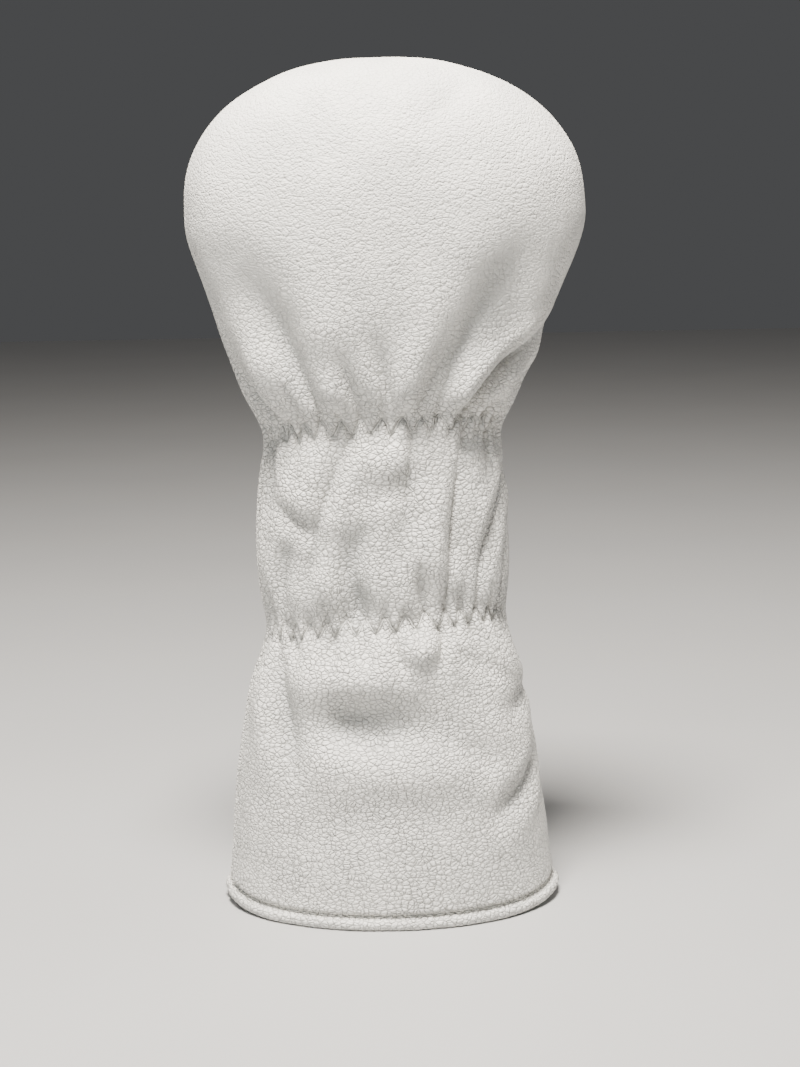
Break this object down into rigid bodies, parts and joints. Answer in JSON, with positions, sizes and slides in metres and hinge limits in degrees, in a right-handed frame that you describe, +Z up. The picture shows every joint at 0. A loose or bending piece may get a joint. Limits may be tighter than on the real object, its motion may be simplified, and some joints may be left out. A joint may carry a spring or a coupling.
{
  "type": "driver head cover",
  "caption": "Soft leather sock for a golf driver's head, with a padded crown, an elastic gathered neck and a flared open skirt that it stands on.",
  "frame": {"origin": "centre of the hem's resting face, on the surface that the cover stands on", "axes": "+Z up to the crown, +X to the right seen from the gathered face, -Y out of the gathered rear face, +Y out of the plain front face"},
  "size_m": [0.16, 0.093, 0.346],
  "materials": {
    "leather": "pebbled, satin",
    "binding": "pebbled, satin",
    "thread": "twisted polyester thread",
    "elastic": "ribbed woven elastic",
    "foam": "matt open-cell foam",
    "plush": "short-pile plush"
  },
  "bodies": {
    "root": {"rear_leather_panel": "leather", "front_leather_panel": "leather", "rear_lining": "plush", "front_lining": "plush", "rear_crown_padding": "foam", "front_crown_padding": "foam", "upper_elastic": "elastic", "lower_elastic": "elastic", "rear_hem_binding": "binding", "front_hem_binding": "binding", "upper_zigzag_stitching": "thread", "lower_zigzag_stitching": "thread", "hem_stitching": "thread", "leather_seam_stitching": "thread", "lining_seam_stitching": "thread"}
  },
  "joints": []
}
